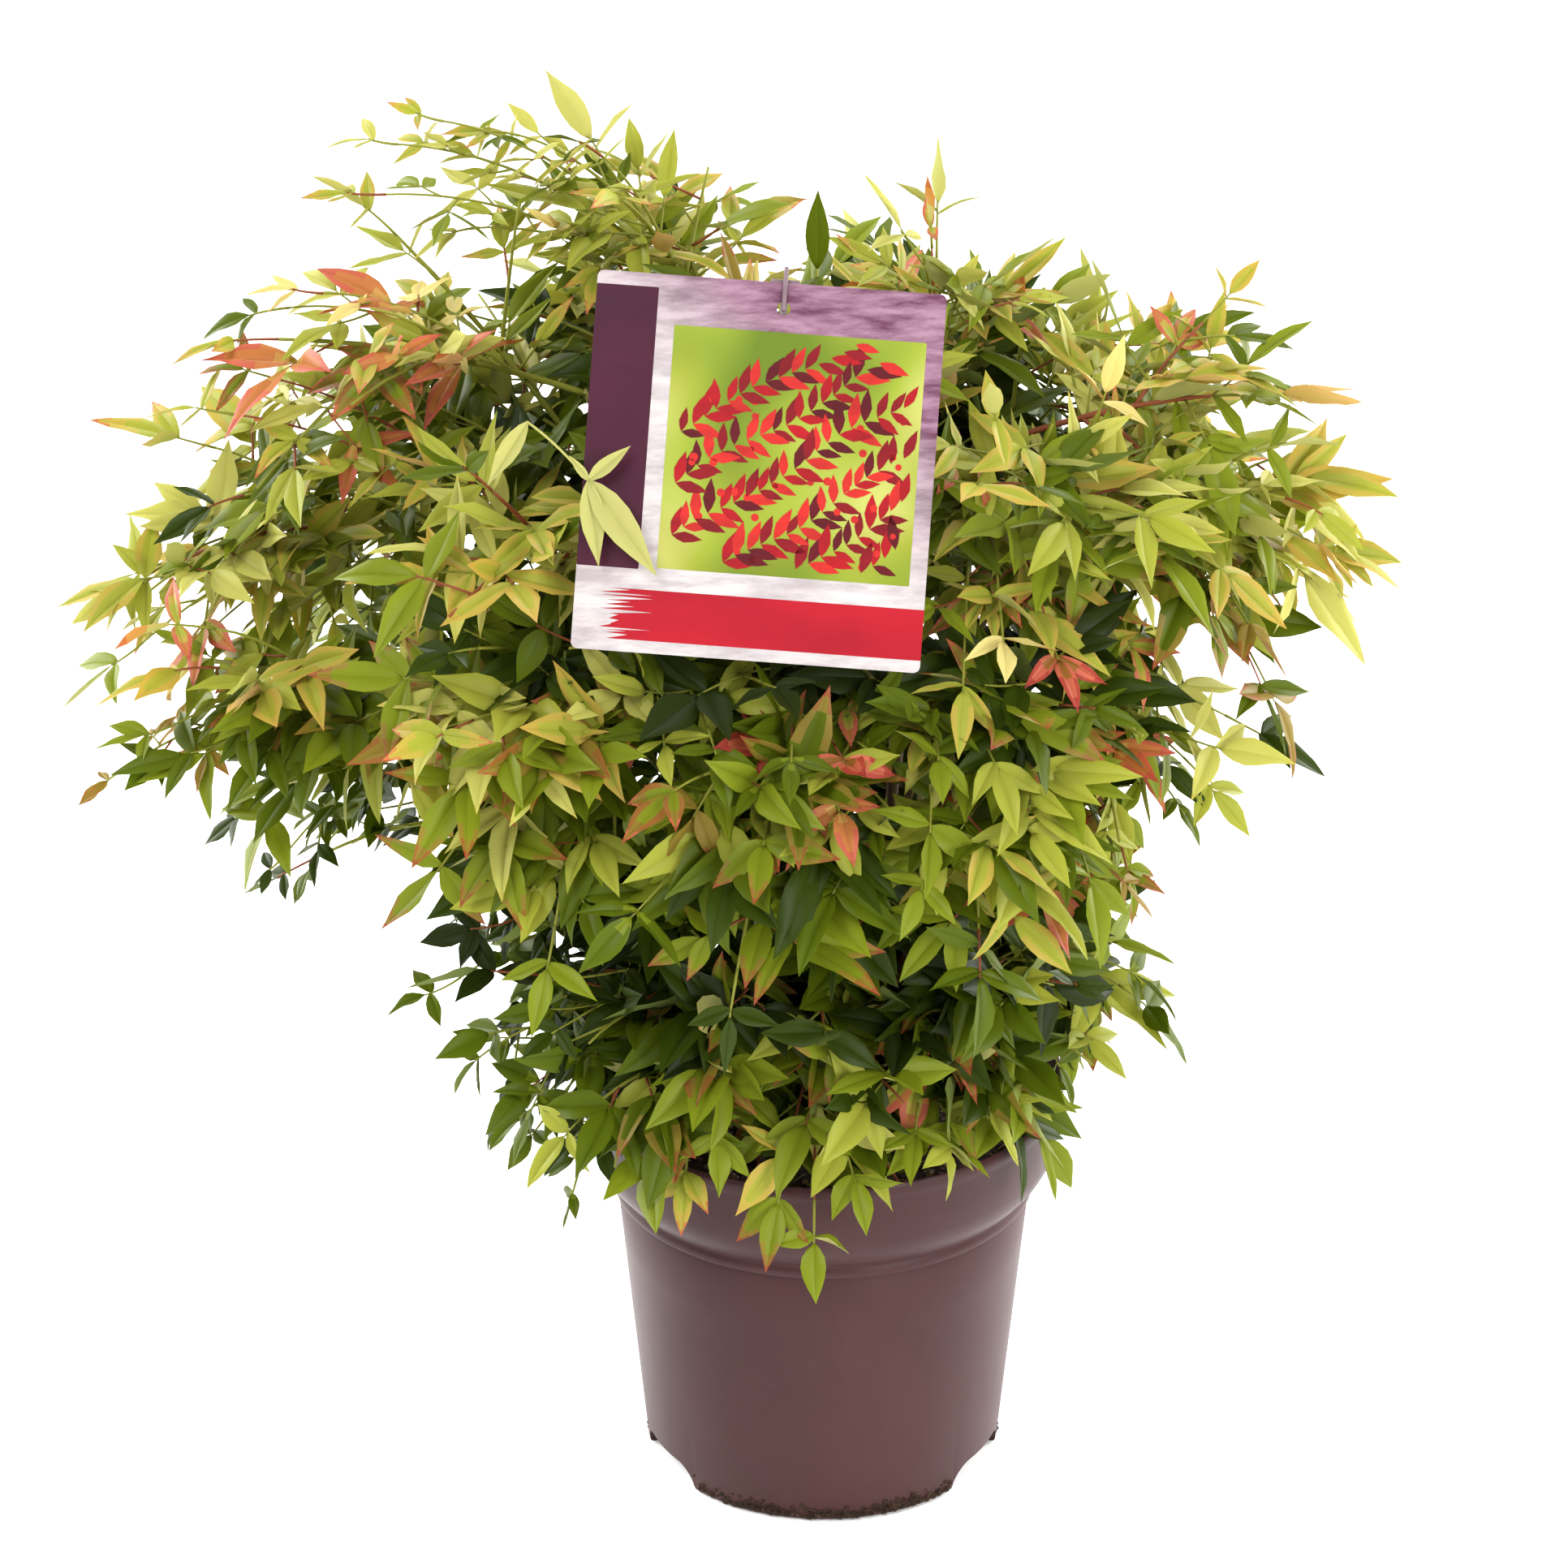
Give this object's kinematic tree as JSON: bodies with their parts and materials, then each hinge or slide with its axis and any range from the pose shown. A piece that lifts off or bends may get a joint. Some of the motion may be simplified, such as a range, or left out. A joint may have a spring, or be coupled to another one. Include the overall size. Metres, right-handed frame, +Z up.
{
  "type": "potted heavenly bamboo shrub",
  "caption": "Evergreen heavenly bamboo in a round nursery pot, with arching boughs, sprays of pointed leaves and a blank-worded picture label on a holder.",
  "frame": {"origin": "centre of the pot's flat underside, where the pot stands", "axes": "+Z up, -Y the plant's front with the label, +X its right-hand side as seen from the front"},
  "size_m": [0.6492, 0.5187, 0.7095],
  "materials": {
    "pot": "satin, taupe brown injection-moulded plastic",
    "soil": "dark, fibrous, moist potting peat",
    "cane": "matt brown bark with darker leaf joints",
    "bough": "smooth green-brown leaf stalk",
    "foliage": "leathery fresh green leaves with orange and red tips",
    "label": "coated card, satin",
    "label_holder": "satin moulded plastic"
  },
  "bodies": {
    "root": {"cane_1": "cane", "cane_2": "cane", "cane_3": "cane", "cane_4": "cane", "cane_5": "cane", "cane_6": "cane", "cane_7": "cane", "crown_1_foliage": "foliage", "crown_2_foliage": "foliage", "crown_3_foliage": "foliage", "crown_4_foliage": "foliage", "crown_5_foliage": "foliage", "crown_6_foliage": "foliage", "crown_7_foliage": "foliage", "label": "label", "label_holder": "label_holder", "pot": "pot", "shoulder_1_bough": "bough", "shoulder_1_foliage": "foliage", "shoulder_2_bough": "bough", "shoulder_2_foliage": "foliage", "shoulder_3_bough": "bough", "shoulder_3_foliage": "foliage", "shoulder_4_bough": "bough", "shoulder_4_foliage": "foliage", "shoulder_5_bough": "bough", "shoulder_5_foliage": "foliage", "shoulder_6_bough": "bough", "shoulder_6_foliage": "foliage", "skirt_1_foliage": "foliage", "skirt_2_foliage": "foliage", "skirt_3_foliage": "foliage", "skirt_4_foliage": "foliage", "skirt_5_foliage": "foliage", "skirt_6_foliage": "foliage", "skirt_7_foliage": "foliage", "skirt_8_foliage": "foliage", "soil": "soil", "waist_10_bough": "bough", "waist_10_foliage": "foliage", "waist_11_bough": "bough", "waist_11_foliage": "foliage", "waist_1_bough": "bough", "waist_1_foliage": "foliage", "waist_2_bough": "bough", "waist_2_foliage": "foliage", "waist_3_bough": "bough", "waist_3_foliage": "foliage", "waist_4_bough": "bough", "waist_4_foliage": "foliage", "waist_5_bough": "bough", "waist_5_foliage": "foliage", "waist_6_bough": "bough", "waist_6_foliage": "foliage", "waist_7_bough": "bough", "waist_7_foliage": "foliage", "waist_8_bough": "bough", "waist_8_foliage": "foliage", "waist_9_bough": "bough", "waist_9_foliage": "foliage"}
  },
  "joints": []
}
